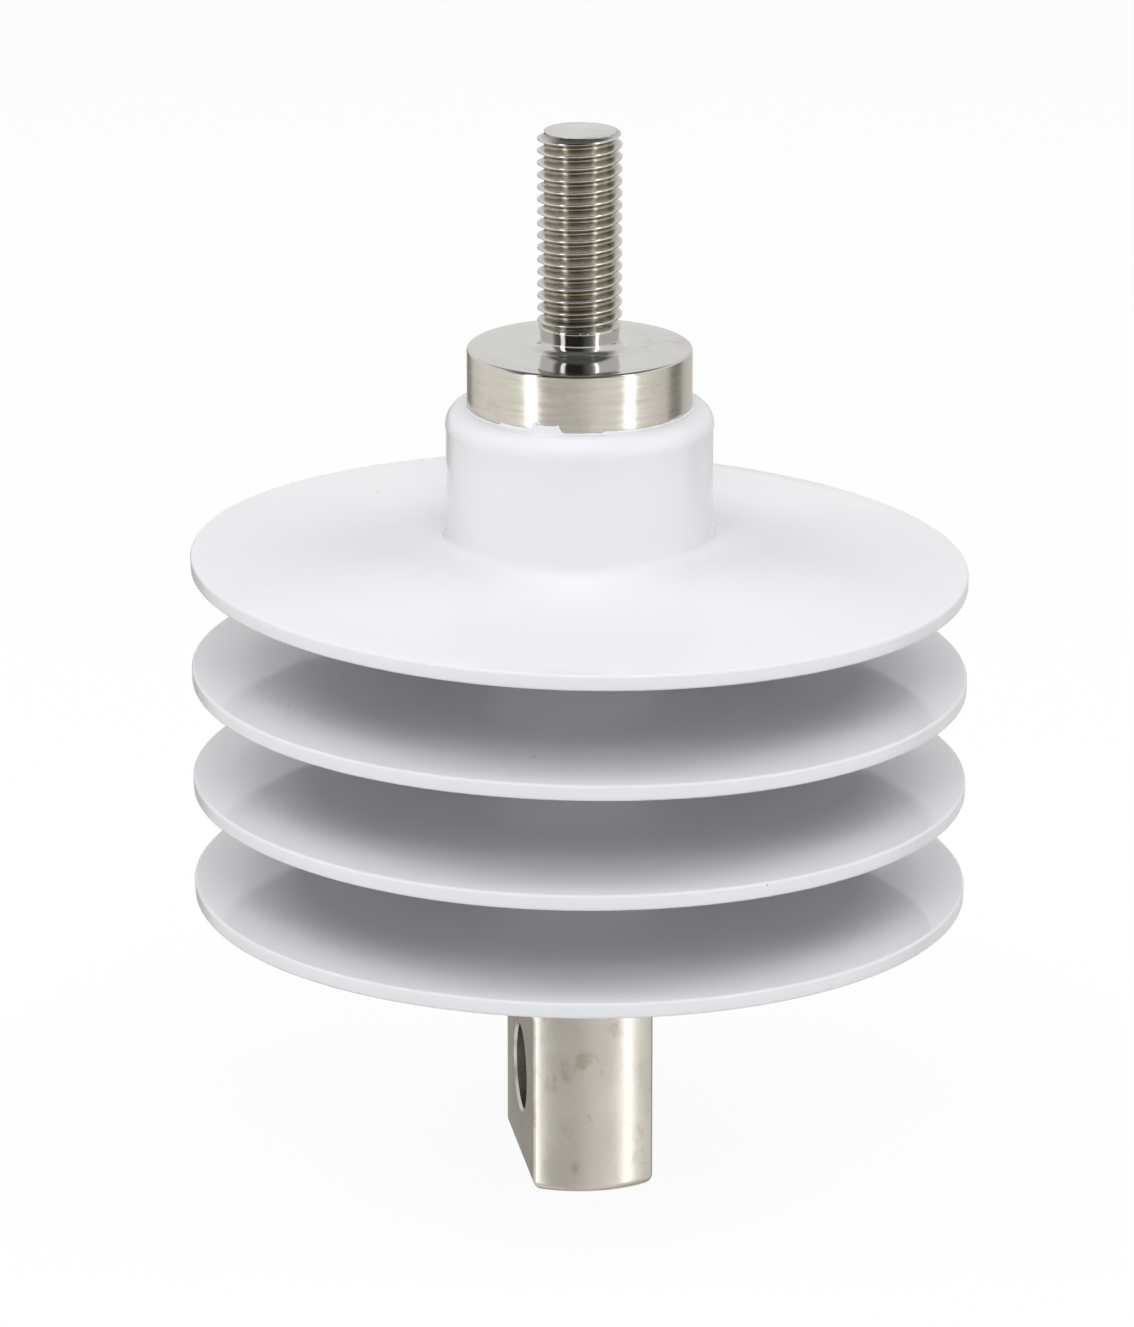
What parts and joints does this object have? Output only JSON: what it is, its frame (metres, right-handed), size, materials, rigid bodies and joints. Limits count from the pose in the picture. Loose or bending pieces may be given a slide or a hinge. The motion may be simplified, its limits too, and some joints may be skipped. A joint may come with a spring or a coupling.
{
  "type": "composite insulator",
  "caption": "Shedded silicone composite insulator with a threaded stud at one end and a flat drilled tongue at the other.",
  "frame": {"origin": "centre of the tongue's flat end, on the insulator's axis", "axes": "+Z along the insulator's axis from the tongue to the stud, X along the tongue's pin hole"},
  "size_m": [0.111, 0.111, 0.1537],
  "materials": {
    "fitting_steel": "turned stainless steel, satin",
    "silicone": "moulded white silicone rubber, smooth",
    "glass_fibre": "pultruded glass fibre rod"
  },
  "bodies": {
    "root": {"top_fitting": "fitting_steel", "tongue_fitting": "fitting_steel", "housing": "silicone", "core_rod": "glass_fibre"}
  },
  "joints": []
}
